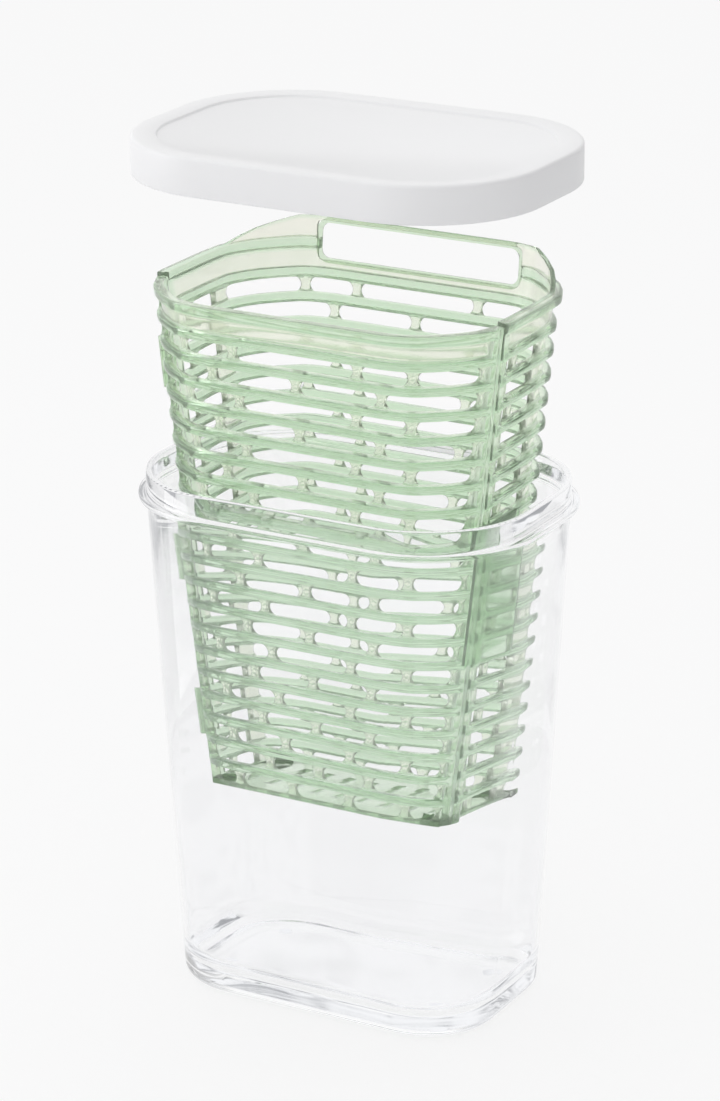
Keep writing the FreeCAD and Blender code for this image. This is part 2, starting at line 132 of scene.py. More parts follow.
# Points of a quarter round, as rises and insets: from flat, through the bend, to upright.
def quarter(radius, steps):
    turns = [math.pi / 2 * step / steps for step in range(steps + 1)]
    return [(radius * (1 - math.cos(turn)), radius * (1 - math.sin(turn))) for turn in turns]


# The wall's profile, as heights and insets: from under the floor, up the outside, over the
# rim and down the inside. A small round has one point at its bend, this share of its radius
# in from the corner.
BEND = 0.3
RIM_ROUND = 0.9 * MM
FLANGE_ROUND = 0.8 * MM
flange_top = SHOULDER_HEIGHT + FLANGE_THICKNESS
flange_bend, rim_bend = BEND * FLANGE_ROUND, BEND * RIM_ROUND
wall = [(FOOT_LIFT + rise, inset) for rise, inset in quarter(BASE_ROUND, BASE_STEPS)]
wall += [(SHOULDER_HEIGHT - FLANGE_ROUND, 0), (SHOULDER_HEIGHT, -FLANGE_ROUND),
         (SHOULDER_HEIGHT, FLANGE_ROUND - FLANGE_REACH),
         (SHOULDER_HEIGHT + flange_bend, flange_bend - FLANGE_REACH),
         (SHOULDER_HEIGHT + FLANGE_ROUND, -FLANGE_REACH),
         (flange_top - FLANGE_ROUND, -FLANGE_REACH),
         (flange_top - flange_bend, flange_bend - FLANGE_REACH),
         (flange_top, FLANGE_ROUND - FLANGE_REACH), (flange_top, -FLANGE_ROUND),
         (flange_top + FLANGE_ROUND, 0), (RIM_HEIGHT - RIM_ROUND, 0)]
wall += [(RIM_HEIGHT - fall, inset) for fall, inset in
         [(rim_bend, rim_bend), (0, RIM_ROUND), (0, CONTAINER_WALL - RIM_ROUND),
          (rim_bend, CONTAINER_WALL - rim_bend), (RIM_ROUND, CONTAINER_WALL)]]
wall += [(SHOULDER_HEIGHT, CONTAINER_WALL)]
wall += [(FLOOR_TOP + rise, CONTAINER_WALL + inset)
         for rise, inset in reversed(quarter(FLOOR_ROUND, FLOOR_STEPS))]
container = moulded("container_wall", wall, container_outline)
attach(container, "container")
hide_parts("container")

# Four round pads under the floor keep the keeper level and off the shelf.
pads = bmesh.new()
for side_x in (1, -1):
    for side_y in (1, -1):
        spot = Vector((side_x * (BASE.x / 2 - FOOT_INSET), side_y * (BASE.y / 2 - FOOT_INSET), 0))
        bmesh.ops.create_cone(
            pads, cap_ends=True, segments=32, radius1=FOOT_TAPER * FOOT_RADIUS,
            radius2=FOOT_RADIUS, depth=FOOT_LIFT,
            matrix=Matrix.Translation(spot + Vector((0, 0, FOOT_LIFT / 2))))
foot_pads = finished(pads, "foot_pads", smooth=False)
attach(foot_pads, "container")


# A shader socket that takes part in sums. Each sum adds a Math node to its tree.
class Wire:
    def __init__(self, tree, socket):
        self.tree = tree
        self.socket = socket

    def sum(self, operation, *values):
        return add(self.tree, "Math", {"operation": operation}, dict(enumerate(values)))

    def __add__(self, other):
        return self.sum("ADD", self, other)

    def __sub__(self, other):
        return self.sum("SUBTRACT", self, other)

    def __mul__(self, other):
        return self.sum("MULTIPLY", self, other)

    def __rsub__(self, other):
        return self.sum("SUBTRACT", other, self)

    __radd__ = __add__
    __rmul__ = __mul__


# Adds one node: its type, its settings, its sockets' values or links, and the output wanted.
def add(tree, kind, settings=None, sockets=None, output=0):
    node = tree.nodes.new("ShaderNode" + kind)
    for key, value in (settings or {}).items():
        setattr(node, key, value)
    for key, value in (sockets or {}).items():
        if isinstance(value, Wire):
            tree.links.new(value.socket, node.inputs[key])
        else:
            node.inputs[key].default_value = value
    return Wire(tree, node.outputs[output])


def new_material(name):
    material = bpy.data.materials.new(name)
    material.use_nodes = True
    material.node_tree.nodes.clear()
    return material, material.node_tree


# Gives a material, or the world, the shader that it shows.
def shown(tree, surface, kind="OutputMaterial"):
    node = tree.nodes.new("ShaderNode" + kind)
    tree.links.new(surface.socket, node.inputs["Surface"])


def noise(tree, place, scale, detail=2.0):
    return add(tree, "TexNoise", {}, {"Vector": place, "Scale": scale, "Detail": detail,
                                      "Roughness": 0.5}, "Fac")


# The Mix node's colours are its sockets 6 and 7, and its mixed colour is its output 2.
def mixed(tree, share, first, second):
    return add(tree, "Mix", {"data_type": "RGBA"}, {0: share, 6: first, 7: second}, 2)


# Goes softly from the first level to the second while the value crosses the span.
def eased(tree, value, span, levels):
    return add(tree, "MapRange", {"interpolation_type": "SMOOTHSTEP"}, {
        "Value": value, "From Min": span[0], "From Max": span[1], "To Min": levels[0],
        "To Max": levels[1]})


# Light that goes on through a clear piece, so that its shadow is pale.
def lit_through(tree, surface, tint):
    shadow = add(tree, "LightPath", output="Is Shadow Ray")
    passing = add(tree, "BsdfTransparent", {}, {"Color": tint})
    return add(tree, "MixShader", {}, {0: shadow, 1: surface, 2: passing})


# Polished clear styrene: very slight flow waves from the mould, and a trace of haze. Rays that
# have turned many times end on a painted glow, standing in for light that comes out of the thick
# base: painted pale streaks, darkened towards one corner by painted shade.
STYRENE = (0.975, 0.976, 0.981, 1)
STYRENE_SHADE = (0.94, 0.945, 0.95, 1)
# The painted glow's colours: painted shade between the streaks and painted light in them.
PAINTED_STREAK_SHADE = (0.1, 0.11, 0.13, 1)
PAINTED_STREAK_LIGHT = (0.93, 0.94, 0.96, 1)
# After this many turns a ray sees the painted glow instead of the plastic.
TURNS_BEFORE_PAINTED_GLOW = 5.0
# Painted shade darkens the glow towards this corner, across this span.
PAINTED_SHADE_CORNER = Vector((-0.9, -0.43, 0))
PAINTED_SHADE_SPAN = (0.058, 0.074)


def clear_styrene():
    material, tree = new_material("clear_styrene")
    place = add(tree, "TexCoord", output="Object")
    waves = noise(tree, place, 22.0)
    haze = noise(tree, place, 160.0, 4.0)
    normal = add(tree, "Bump", {}, {"Strength": 0.05, "Distance": 0.0015, "Height": waves})
    polished = add(tree, "BsdfPrincipled", {}, {
        "Base Color": STYRENE, "Roughness": 0.01 + haze * 0.03, "IOR": 1.5,
        "Transmission Weight": 1.0, "Normal": normal})
    # Painted streaks, with painted shade towards one corner, give the painted glow its colour.
    painted_streaks = eased(tree, noise(tree, place, 38.0, 1.0), (0.36, 0.5), (0.3, 1.0))
    toward_corner = add(tree, "VectorMath", {"operation": "DOT_PRODUCT"},
                        {0: place, 1: PAINTED_SHADE_CORNER}, "Value")
    corner = eased(tree, toward_corner, PAINTED_SHADE_SPAN, (1.0, 0.35))
    colour = mixed(tree, painted_streaks * corner, PAINTED_STREAK_SHADE, PAINTED_STREAK_LIGHT)
    # The painted glow: an emission that stands in for light coming out of the base.
    painted_glow = add(tree, "Emission", {}, {"Color": colour, "Strength": 1.0})
    # Rays that have turned often see the painted glow in place of the clear plastic.
    deep = add(tree, "Math", {"operation": "GREATER_THAN"},
               {0: add(tree, "LightPath", output="Ray Depth"), 1: TURNS_BEFORE_PAINTED_GLOW})
    surface = add(tree, "MixShader", {}, {0: deep, 1: polished, 2: painted_glow})
    shown(tree, lit_through(tree, surface, STYRENE_SHADE))
    return material


styrene = clear_styrene()
for piece in (container, foot_pads):
    piece.data.materials.append(styrene)

# The lid is a shallow cap in white satin polypropylene: a flat raised border round a top
# panel that lies a little lower, and a skirt that drops over the container's collar.
(lid_low, lid_high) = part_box("lid")
LID_WALL = 2.4 * MM
LID_EDGE_ROUND = 1.6 * MM
LID_BORDER = 11.0 * MM
LID_RECESS = 1.0 * MM
LID_PANEL = 1.7 * MM
LID_CORNER = SHOULDER_CORNER + FLANGE_REACH
lid_size = Vector(lid_high) - Vector(lid_low)


def lid_outline(height, inset=0.0):
    return lid_size.x - 2 * inset, lid_size.y - 2 * inset, LID_CORNER - inset


# The cap's profile: the panel, the step up to the border, the edge, the skirt and the inside.
SOFT = 0.5 * MM
LID_STEPS = 6
LID_FILLET = 1.5 * MM
panel_top = lid_high[2] - LID_RECESS
under = panel_top - LID_PANEL
cap = [(panel_top, LID_BORDER + SOFT), (panel_top + BEND * SOFT, LID_BORDER + BEND * SOFT)]
cap += [(lid_high[2] - 0.4 * SOFT, LID_BORDER - 0.2 * SOFT), (lid_high[2], LID_BORDER - SOFT)]
cap += [(lid_high[2] - fall, inset) for fall, inset in quarter(LID_EDGE_ROUND, LID_STEPS)]
cap += [(lid_low[2] + SOFT, 0), (lid_low[2] + BEND * SOFT, BEND * SOFT), (lid_low[2], SOFT)]
cap += [(lid_low[2], LID_WALL - SOFT), (lid_low[2] + SOFT, LID_WALL)]
cap += [(under - LID_FILLET, LID_WALL), (under - 0.4 * MM, LID_WALL + 0.4 * MM)]
cap += [(under, LID_WALL + LID_FILLET)]
lid = moulded("lid_cap", cap, lid_outline)
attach(lid, "lid")
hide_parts("lid")


SATIN_LOW = (0.905, 0.905, 0.915, 1)
SATIN_HIGH = (0.925, 0.925, 0.935, 1)


def white_satin():
    material, tree = new_material("white_satin")
    place = add(tree, "TexCoord", output="Object")
    grain = noise(tree, place, 2600.0, 3.0)
    cloud = noise(tree, place, 30.0)
    normal = add(tree, "Bump", {}, {"Strength": 0.08, "Distance": 0.0002, "Height": grain})
    colour = mixed(tree, cloud, SATIN_LOW, SATIN_HIGH)
    surface = add(tree, "BsdfPrincipled", {}, {
        "Base Color": colour, "Roughness": 0.3 + cloud * 0.08, "IOR": 1.49, "Normal": normal,
        "Subsurface Weight": 0.08, "Subsurface Radius": (1.0, 1.0, 1.0),
        "Subsurface Scale": 0.002})
    shown(tree, surface)
    return material


lid.data.materials.append(white_satin())

# The basket is two moulded halves in translucent green plastic. Round rings stand out from
# a thin tapered wall, and between the rings lie rows of slots, parted by slim waisted
# bridges. Each half is laid out flat as a grid, slotted, given its thickness and then
# wrapped round the basket's outline.
(rear_low, rear_high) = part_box("basket_rear")
BASKET_FOOT = rear_low[2]
WALL_HEIGHT = 214.9 * MM
BASKET_BASE = Vector((113.0, 63.5, 0)) * MM
BASKET_BASE_CORNER = 11.0 * MM
BASKET_TOP = Vector((160.0, 110.5, 0)) * MM
BASKET_TOP_CORNER = 39.0 * MM
BASKET_WALL = 2.0 * MM
RING_COUNT = 19
RING_PITCH = 10.82 * MM
RING_THICKNESS = 4.2 * MM
RING_REACH = 2.5 * MM
LOWEST_RING = 11.3 * MM
RIM_BEAD = 4.6 * MM
REAR_RIM_RISE = 1.5 * MM
REAR_RIM_REACH = 3.5 * MM
COLUMN_REACH = 2.8 * MM
SEAM_SETBACK = 24.0 * MM
SEAM_GAP = 0.3 * MM
SEAM_COLUMN = 5.0 * MM
SLOT_MARGIN = 0.5 * MM
BRIDGE = 4.2 * MM


def basket_outline(height):
    share = height / WALL_HEIGHT
    size = BASKET_BASE.lerp(BASKET_TOP, share)
    corner = BASKET_BASE_CORNER + (BASKET_TOP_CORNER - BASKET_BASE_CORNER) * share
    return size.x / 2 - corner, size.y / 2 - corner, corner


# A point on the basket's wall, a distance along it from the middle of the front or back:
# over the flat, round the corner, down the side and round the next corner.
def on_wall(height, along, out, side_y):
    flat_x, flat_y, corner = basket_outline(height)
    side_x, along = math.copysign(1, along), abs(along)
    arc = corner * math.pi / 2
    if along <= flat_x:
        x, y = along, flat_y + corner + out
    elif along <= flat_x + arc:
        turn = (along - flat_x) / corner
        x = flat_x + (corner + out) * math.sin(turn)
        y = flat_y + (corner + out) * math.cos(turn)
    elif along <= flat_x + arc + 2 * flat_y:
        x, y = flat_x + corner + out, flat_y - (along - flat_x - arc)
    else:
        turn = (along - flat_x - arc - 2 * flat_y) / corner
        x = flat_x + (corner + out) * math.cos(turn)
        y = -flat_y - (corner + out) * math.sin(turn)
    return Vector((side_x * x, side_y * y, BASKET_FOOT + height))


# How far along the wall, from the middle of the front or the back, the side's level y lies.
def along_to(y, height, side_y):
    flat_x, flat_y, corner = basket_outline(height)
    y = y * side_y
    if y > flat_y:
        return flat_x + corner * math.acos((y - flat_y) / corner)
    if y < -flat_y:
        return (flat_x + corner * math.pi / 2 + 2 * flat_y
                + corner * math.asin((-y - flat_y) / corner))
    return flat_x + corner * math.pi / 2 + flat_y - y


# The bridges and the grip's ends lean outwards with the wall: each is a distance from the
# middle at the wall's foot and at its top.
CENTRE = (0.0, 0.0)
INNER = (13.4 * MM, 30.6 * MM)
MIDDLE = (22.6 * MM, 42.3 * MM)
GRIP_END = (32.0 * MM, 48.8 * MM)
OUTER = (39.5 * MM, 55.5 * MM)

# The upright lines of the grid from the middle outwards. Each bridge has its two edges and,
# beyond them, a line that keeps the slots' ends round. The last ones on the front or back
# end the slots, a level is a y on the side wall, and the rest are distances from the seam.
face_lines = [("bridge", CENTRE, 1, 0), ("bridge", CENTRE, 1, 1)]
for mark in (INNER, MIDDLE):
    face_lines += [("bridge", mark, side, beyond)
                   for side, beyond in ((-1, 1), (-1, 0), (1, 0), (1, 1))]
face_lines += [("grip", GRIP_END, 0, 0)]
face_lines += [("bridge", OUTER, side, beyond)
               for side, beyond in ((-1, 1), (-1, 0), (1, 0), (1, 1))]
face_lines += [("corner", None, 0.5, 0), ("corner", None, 1.0, 1), ("corner", None, 1.0, 0)]
side_lines = [("level", None, y * MM, 0) for y in (9.0, 6.0, -5.0, -12.5)]
seam_lines = [("seam", None, SEAM_COLUMN * share, 0) for share in (1.08, 0.96, 0.5, 0.1, 0.0)]
INNER_CELL, MIDDLE_CELL, OUTER_CELL = [
    face_lines.index(("bridge", mark, 1, 0)) for mark in (INNER, MIDDLE, OUTER)]
GRIP_CELL = face_lines.index(("grip", GRIP_END, 0, 0))
SIDE_CELL = len(face_lines)
STAGGERED_CELLS, PLAIN_CELLS = (INNER_CELL, OUTER_CELL), (0, MIDDLE_CELL)
STAGGERED_SIDE = (SIDE_CELL + 1, SIDE_CELL + 2, SIDE_CELL + 4)
PLAIN_SIDE = (SIDE_CELL + 2, SIDE_CELL + 3)
STAGGERED_MARKS = (INNER, OUTER)
PLAIN_MARKS = (CENTRE, MIDDLE)
FLARE = 2.3 * MM
BEYOND = 1.5 * MM


# How far along the wall an upright line lies at a height, in a row of slots or beside it.
def upright(line, height, slot_row, flare, wrap, side_y):
    kind, mark, amount, beyond = line
    share = height / WALL_HEIGHT
    if kind == "level":
        return along_to(amount, height, side_y)
    end = along_to(side_y * SEAM_GAP / 2 - SEAM_SETBACK, height, side_y)
    if kind == "seam":
        return end - amount
    own_marks = STAGGERED_MARKS if slot_row is not None and slot_row % 2 == 0 else PLAIN_MARKS
    if kind in ("bridge", "grip"):
        room = FLARE * flare + BEYOND * beyond
        if slot_row is None or mark not in own_marks:
            room = 0.3 * BEYOND * beyond
        return mark[0] + (mark[1] - mark[0]) * share + amount * (BRIDGE / 2 + room)
    flat_x, _, corner = basket_outline(height)
    last = min(flat_x + wrap * corner * math.pi / 2, end - SEAM_COLUMN - 3 * SLOT_MARGIN)
    last -= FLARE * flare + BEYOND * beyond
    start = OUTER[0] + (OUTER[1] - OUTER[0]) * share + BRIDGE / 2 + FLARE + BEYOND
    return start + (last - start) * amount


# The level rows of the grid, from the foot up: the height, how far the outside stands out
# of the wall, what the row is part of, how deep the plastic's colour is there, its row of
# slots, and how far the bridges flare.
def slot_levels(number):
    low = LOWEST_RING + (number - 1) * RING_PITCH + RING_THICKNESS / 2
    high = low + RING_PITCH - RING_THICKNESS
    return [(low + (high - low) * share, 0.1 * MM, "slot", tint, number, flare)
            for share, tint, flare in ((0.0, 0.55, 1.0), (0.2, 0.3, 0.35), (0.5, 0.25, 0.0),
                                       (0.8, 0.3, 0.35), (1.0, 0.55, 1.0))]


def ring_levels(number):
    middle, half = LOWEST_RING + number * RING_PITCH, RING_THICKNESS / 2
    return [(middle + away * half, out * RING_REACH, "ring", tint, None, 0.5)
            for away, out, tint in ((-0.88, 0.8, 1.0), (-0.4, 1.0, 0.85), (0.4, 1.0, 0.85),
                                    (0.88, 0.8, 1.0))]


def rim_rows(rise, reach):
    low = WALL_HEIGHT + rise
    high = low + RIM_BEAD
    top_ring = LOWEST_RING + (RING_COUNT - 1) * RING_PITCH + RING_THICKNESS / 2
    return [(top_ring, 0.1 * MM, "band", 0.5), (top_ring + 0.5 * MM, 0.0, "band", 0.2),
            (low - 4.4 * MM, 0.0, "band", 0.2), (low - 1.2 * MM, 0.0, "band", 0.2),
            (low - 0.1 * MM, 0.2 * MM, "band", 0.6), (low, reach - 0.7 * MM, "rim", 1.0),
            (low + 0.6 * MM, reach, "rim", 1.0), (low + 2.2 * MM, reach, "rim", 0.7),
            (high - 0.5 * MM, reach, "rim", 0.9), (high, reach - 0.6 * MM, "rim", 0.6),
            (high, 0.2 * MM, "rim", 0.3)]


ringed_rows = [(0.0, -1.4 * MM, "foot", 1.0), (0.4 * MM, -0.4 * MM, "foot", 1.0),
               (1.6 * MM, 0.0, "foot", 0.7)]
for number in range(RING_COUNT):
    ringed_rows += slot_levels(number) + ring_levels(number)
front_rows = ringed_rows + rim_rows(0.0, RING_REACH)
front_rows += [(WALL_HEIGHT + RIM_BEAD, -0.9 * MM, "rim", 0.3)]

# The rear half's wall goes on up as the handle, whose edge, seen from the side, slopes up
# from the rim in a soft S and then runs level. These rows hold a share of that climb.
HANDLE_TOP = rear_high[2] - BASKET_FOOT
HANDLE_FRONT = 22.0 * MM
HANDLE_RUN = 31.0 * MM
HANDLE_FOOT = WALL_HEIGHT + REAR_RIM_RISE + RIM_BEAD
GRIP_LOW = 212.0 * MM
GRIP_HIGH = 229.0 * MM
GRIP_SHARE = (GRIP_HIGH - HANDLE_FOOT) / (HANDLE_TOP - HANDLE_FOOT)
rear_rows = ringed_rows + rim_rows(REAR_RIM_RISE, REAR_RIM_REACH)
rear_rows += [(HANDLE_FOOT, share, "handle", tint) for share, tint in (
    (0.08, 0.1), (0.4, 0.0), (GRIP_SHARE, 0.0), (0.94, 0.5), (1.0, 0.9))]


def handle_height(share, y):
    climb = min(1.0, max(0.0, (y - HANDLE_FRONT) / HANDLE_RUN))
    climb = 0.02 + 0.98 * climb * climb * (3 - 2 * climb)
    return HANDLE_FOOT + (HANDLE_TOP - HANDLE_FOOT) * climb * share


# Rows of slots are staggered like bricks, and each keeps the bridges of its own pattern.
def is_slot(cell, slot_row, has_side):
    staggered = slot_row % 2 == 0
    if cell < SIDE_CELL:
        return cell not in (STAGGERED_CELLS if staggered else PLAIN_CELLS)
    return has_side and cell in (STAGGERED_SIDE if staggered else PLAIN_SIDE)


def in_grip(low_row, high_row):
    low = GRIP_HIGH if low_row[2] == "handle" and low_row[1] >= GRIP_SHARE else low_row[0]
    return low_row[0] >= GRIP_LOW - 0.2 * MM and low < GRIP_HIGH and high_row[0] > GRIP_LOW


def basket_half(name, lines, rows, side_y, wrap):
    bm = bmesh.new()
    depth = bm.verts.layers.float.new("depth")
    across, up = 2 * len(lines) - 1, len(rows) - 1
    bmesh.ops.create_grid(bm, x_segments=across, y_segments=up, size=0.5)
    # Rows that hold four values have no slots, and a flare that makes no odds there.
    rows = [(*row, None, 0.5)[:6] for row in rows]
    gone = []
    for face in bm.faces:
        middle = face.calc_center_median()
        cell = abs(int((middle.x + 0.5) * across) - len(lines) + 1)
        level = int((middle.y + 0.5) * up)
        slot_row = rows[level][4]
        in_row = slot_row is not None and slot_row == rows[level + 1][4]
        if in_row and is_slot(cell, slot_row, side_y > 0):
            gone.append(face)
        elif side_y > 0 and cell <= GRIP_CELL and in_grip(rows[level], rows[level + 1]):
            gone.append(face)
    bmesh.ops.delete(bm, geom=gone, context="FACES")
    bmesh.ops.solidify(bm, geom=bm.faces[:], thickness=1.0)
    for vert in bm.verts:
        column = round((vert.co.x + 0.5) * across) - len(lines)
        column += column >= 0
        line = lines[abs(column) - 1]
        height, out, kind, tint, slot_row, flare = rows[round((vert.co.y + 0.5) * up)]
        if kind == "handle":
            along = upright(line, WALL_HEIGHT, None, flare, wrap, side_y)
            height = handle_height(out, on_wall(WALL_HEIGHT, along, 0, side_y).y)
            out = 0.0
        along = upright(line, height, slot_row, flare, wrap, side_y)
        if line[0] == "seam" and line[2] < SEAM_COLUMN and kind != "handle":
            out, tint = max(out, COLUMN_REACH - 0.4 * MM), max(tint, 0.7)
        if abs(vert.co.z) > 0.5:
            out, tint = -BASKET_WALL, 0.7 * tint
        vert.co = on_wall(height, math.copysign(along, column), out, side_y)
        vert[depth] = tint
    bmesh.ops.recalc_face_normals(bm, faces=bm.faces)
    piece = finished(bm, name)
    rounding = piece.modifiers.new("rounding", "SUBSURF")
    rounding.levels = rounding.render_levels = 1
    return piece


front = basket_half("basket_front_wall", face_lines + seam_lines, front_rows, -1, 0.73)
rear = basket_half("basket_rear_wall", face_lines + side_lines + seam_lines, rear_rows, 1, 0.9)

# The rear half also holds the floor, with two rows of drain slots. It is a grid whose lines
# follow the slots, and its outer edge lies inside the wall's foot.
DRAIN_WIDTH = 4.0 * MM
DRAIN_LENGTH = 17.0 * MM
DRAIN_PITCH = 11.0 * MM
DRAIN_GAP = 5.0 * MM
DRAIN_COUNT = 9
BASKET_FLOOR = 2.4 * MM
BASKET_FLOOR_INSET = 1.2 * MM
first_slot = -(DRAIN_COUNT - 1) / 2 * DRAIN_PITCH
floor_x = [first_slot + number * DRAIN_PITCH + side * DRAIN_WIDTH / 2
           for number in range(DRAIN_COUNT) for side in (-1, 1)]
floor_x = [-BASKET_BASE.x / 2 + BASKET_FLOOR_INSET, *floor_x,
           BASKET_BASE.x / 2 - BASKET_FLOOR_INSET]
floor_y = [DRAIN_GAP / 2, DRAIN_GAP / 2 + DRAIN_LENGTH, BASKET_BASE.y / 2 - BASKET_FLOOR_INSET]
floor_y = [-y for y in reversed(floor_y)] + floor_y
cells_x, cells_y = len(floor_x) - 1, len(floor_y) - 1
bm = bmesh.new()
bmesh.ops.create_grid(bm, x_segments=cells_x, y_segments=cells_y, size=0.5)
drains = []
for face in bm.faces:
    middle = face.calc_center_median()
    if int((middle.x + 0.5) * cells_x) % 2 and int((middle.y + 0.5) * cells_y) % 2:
        drains.append(face)
bmesh.ops.delete(bm, geom=drains, context="FACES")
for vert in bm.verts:
    vert.co.x = floor_x[round((vert.co.x + 0.5) * cells_x)]
    vert.co.y = floor_y[round((vert.co.y + 0.5) * cells_y)]
corners = [vert for vert in bm.verts if abs(vert.co.x) > abs(floor_x[1]) and
           abs(vert.co.y) > floor_y[-2]]
bmesh.ops.bevel(bm, geom=corners, offset=BASKET_BASE_CORNER - 2.0 * MM, segments=4, profile=0.5,
                affect="VERTICES", material=-1)
slab = bmesh.ops.extrude_face_region(bm, geom=bm.faces[:])["geom"]
bmesh.ops.translate(bm, vec=(0, 0, BASKET_FLOOR),
                    verts=[part for part in slab if isinstance(part, bmesh.types.BMVert)])
bmesh.ops.translate(bm, vec=(0, 0, BASKET_FOOT), verts=bm.verts)
bmesh.ops.recalc_face_normals(bm, faces=bm.faces)
basket_floor = finished(bm, "basket_floor", smooth=False)

# A fine raised lip runs round the grip, a rounded opening in the handle.
GRIP_SIZE = (96.0 * MM, 15.5 * MM, 4.0 * MM)
GRIP_BAR = 2.8 * MM
GRIP_MIDDLE = HANDLE_TOP - GRIP_BAR - GRIP_SIZE[1] / 2
LIP_WIDTH = 2.2 * MM
LIP_THICKNESS = BASKET_WALL + 0.5 * MM


def grip_outline(height, reach):
    return GRIP_SIZE[0] + 2 * reach, GRIP_SIZE[1] + 2 * reach, GRIP_SIZE[2] + reach


half, edge = LIP_THICKNESS / 2, 0.5 * MM
lip = [(half, edge), (half, LIP_WIDTH - edge), (half - edge, LIP_WIDTH)]
lip += [(-height, reach) for height, reach in reversed(lip)]
lip += [(edge - half, 0), (half - edge, 0)]
grip_lip = moulded("grip_lip", lip, grip_outline, steps=6, closed=True)
lean = math.atan((BASKET_TOP.y - BASKET_BASE.y) / 2 / WALL_HEIGHT)
flat_y, corner = basket_outline(GRIP_MIDDLE)[1:]
grip_lip.data.transform(
    Matrix.Translation((0, flat_y + corner - BASKET_WALL / 2, BASKET_FOOT + GRIP_MIDDLE))
    @ Matrix.Rotation(math.pi / 2 - lean, 4, "X"))

# Three hinges join the halves down the left seam. Each is a barrel in three parts round a
# pin: the outer two are the rear half's lugs and the middle one the front half's knuckle.
HINGE_LOW = 22.0 * MM
HINGE_SPACING = 74.5 * MM
HINGE_LENGTH = 22.0 * MM
LUG_LENGTH = 6.0 * MM
BARREL_RADIUS = 2.0 * MM
BARREL_OFFSET = 0.7 * MM


def hinge_point(height):
    flat_x, _, corner = basket_outline(height)
    reach = flat_x + corner + COLUMN_REACH + BARREL_OFFSET
    return Vector((-reach, -SEAM_SETBACK, BASKET_FOOT + height))


def barrels(name, spans):
    bm = bmesh.new()
    for number in range(3):
        for low, length in spans:
            low += HINGE_LOW + number * HINGE_SPACING
            start, end = hinge_point(low), hinge_point(low + length)
            turn = (end - start).to_track_quat("Z", "Y").to_matrix().to_4x4()
            bmesh.ops.create_cone(
                bm, cap_ends=True, segments=24, radius1=BARREL_RADIUS, radius2=BARREL_RADIUS,
                depth=length, matrix=Matrix.Translation((start + end) / 2) @ turn)
    return finished(bm, name, smooth=False)


lugs = barrels("hinge_lugs", [(0, LUG_LENGTH), (HINGE_LENGTH - LUG_LENGTH, LUG_LENGTH)])
knuckles = barrels("hinge_knuckles", [(LUG_LENGTH + SEAM_GAP,
                                       HINGE_LENGTH - 2 * (LUG_LENGTH + SEAM_GAP))])

# On the right, a spring plate from the front half's column lies over the rear half's and
# holds the basket shut. Its far corners are round.
LATCH_LOW = 76.0 * MM
LATCH_HEIGHT = 58.0 * MM
LATCH_END = 2.3 * MM
LATCH_IN = COLUMN_REACH + SEAM_GAP
LATCH_THICKNESS = 2.0 * MM
LATCH_CORNER = 4.0 * MM
LATCH_TINT = 0.75
root = -SEAM_SETBACK - SEAM_COLUMN
bm = bmesh.new()
sheet = bmesh.ops.create_grid(bm, x_segments=14, y_segments=8, size=0.5)["verts"]
bmesh.ops.scale(bm, vec=(LATCH_END - root, LATCH_HEIGHT, 1), verts=sheet)
bmesh.ops.translate(bm, vec=((root + LATCH_END) / 2, LATCH_LOW + LATCH_HEIGHT / 2, 0),
                    verts=sheet)
far = [vert for vert in bm.verts if vert.co.x > LATCH_END - 0.1 * MM
       and abs(vert.co.y - LATCH_LOW - LATCH_HEIGHT / 2) > 0.49 * LATCH_HEIGHT]
bmesh.ops.bevel(bm, geom=far, offset=LATCH_CORNER * 0.8, segments=4, profile=0.5,
                affect="VERTICES", material=-1)
bmesh.ops.solidify(bm, geom=bm.faces[:], thickness=1.0)
depth = bm.verts.layers.float.new("depth")
for vert in bm.verts:
    out = LATCH_IN + (LATCH_THICKNESS if abs(vert.co.z) < 0.5 else 0)
    vert[depth] = LATCH_TINT
    vert.co = on_wall(vert.co.y, along_to(vert.co.x, vert.co.y, 1), out, 1)
bmesh.ops.recalc_face_normals(bm, faces=bm.faces)
latch_plate = finished(bm, "latch_plate")
trim = latch_plate.modifiers.new("rounded_edges", "BEVEL")
trim.width = 0.5 * MM
trim.segments = 2

for pieces, node in (((front, knuckles, latch_plate), "basket_front"),
                     ((rear, basket_floor, grip_lip, lugs), "basket_rear")):
    for piece in pieces:
        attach(piece, "basket")
        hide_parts(node)


# Translucent green plastic: pale cream where it is thin, and mint where light has a long
# way through it, as in the rings, the rim and the columns beside the seam.
THIN_CREAM = (0.975, 0.968, 0.885, 1)
DEEP_MINT = (0.62, 0.82, 0.61, 1)
MINT_SHADE = (0.84, 0.9, 0.82, 1)
TRIM_TINT = 0.6


def translucent_green(name, has_depth):
    material, tree = new_material(name)
    place = add(tree, "TexCoord", output="Object")
    cloud = noise(tree, place, 45.0, 3.0)
    grain = noise(tree, place, 900.0)
    deep = TRIM_TINT
    if has_depth:
        deep = add(tree, "Attribute", {"attribute_name": "depth"}, {}, "Fac")
    tint = add(tree, "Math", {"operation": "ADD", "use_clamp": True},
               {0: deep, 1: (cloud - 0.5) * 0.25})
    colour = mixed(tree, tint, THIN_CREAM, DEEP_MINT)
    normal = add(tree, "Bump", {}, {"Strength": 0.05, "Distance": 0.0003, "Height": grain})
    surface = add(tree, "BsdfPrincipled", {}, {
        "Base Color": colour, "Roughness": 0.07 + cloud * 0.06, "IOR": 1.45,
        "Transmission Weight": 0.9, "Normal": normal})
    shown(tree, lit_through(tree, surface, MINT_SHADE))
    return material


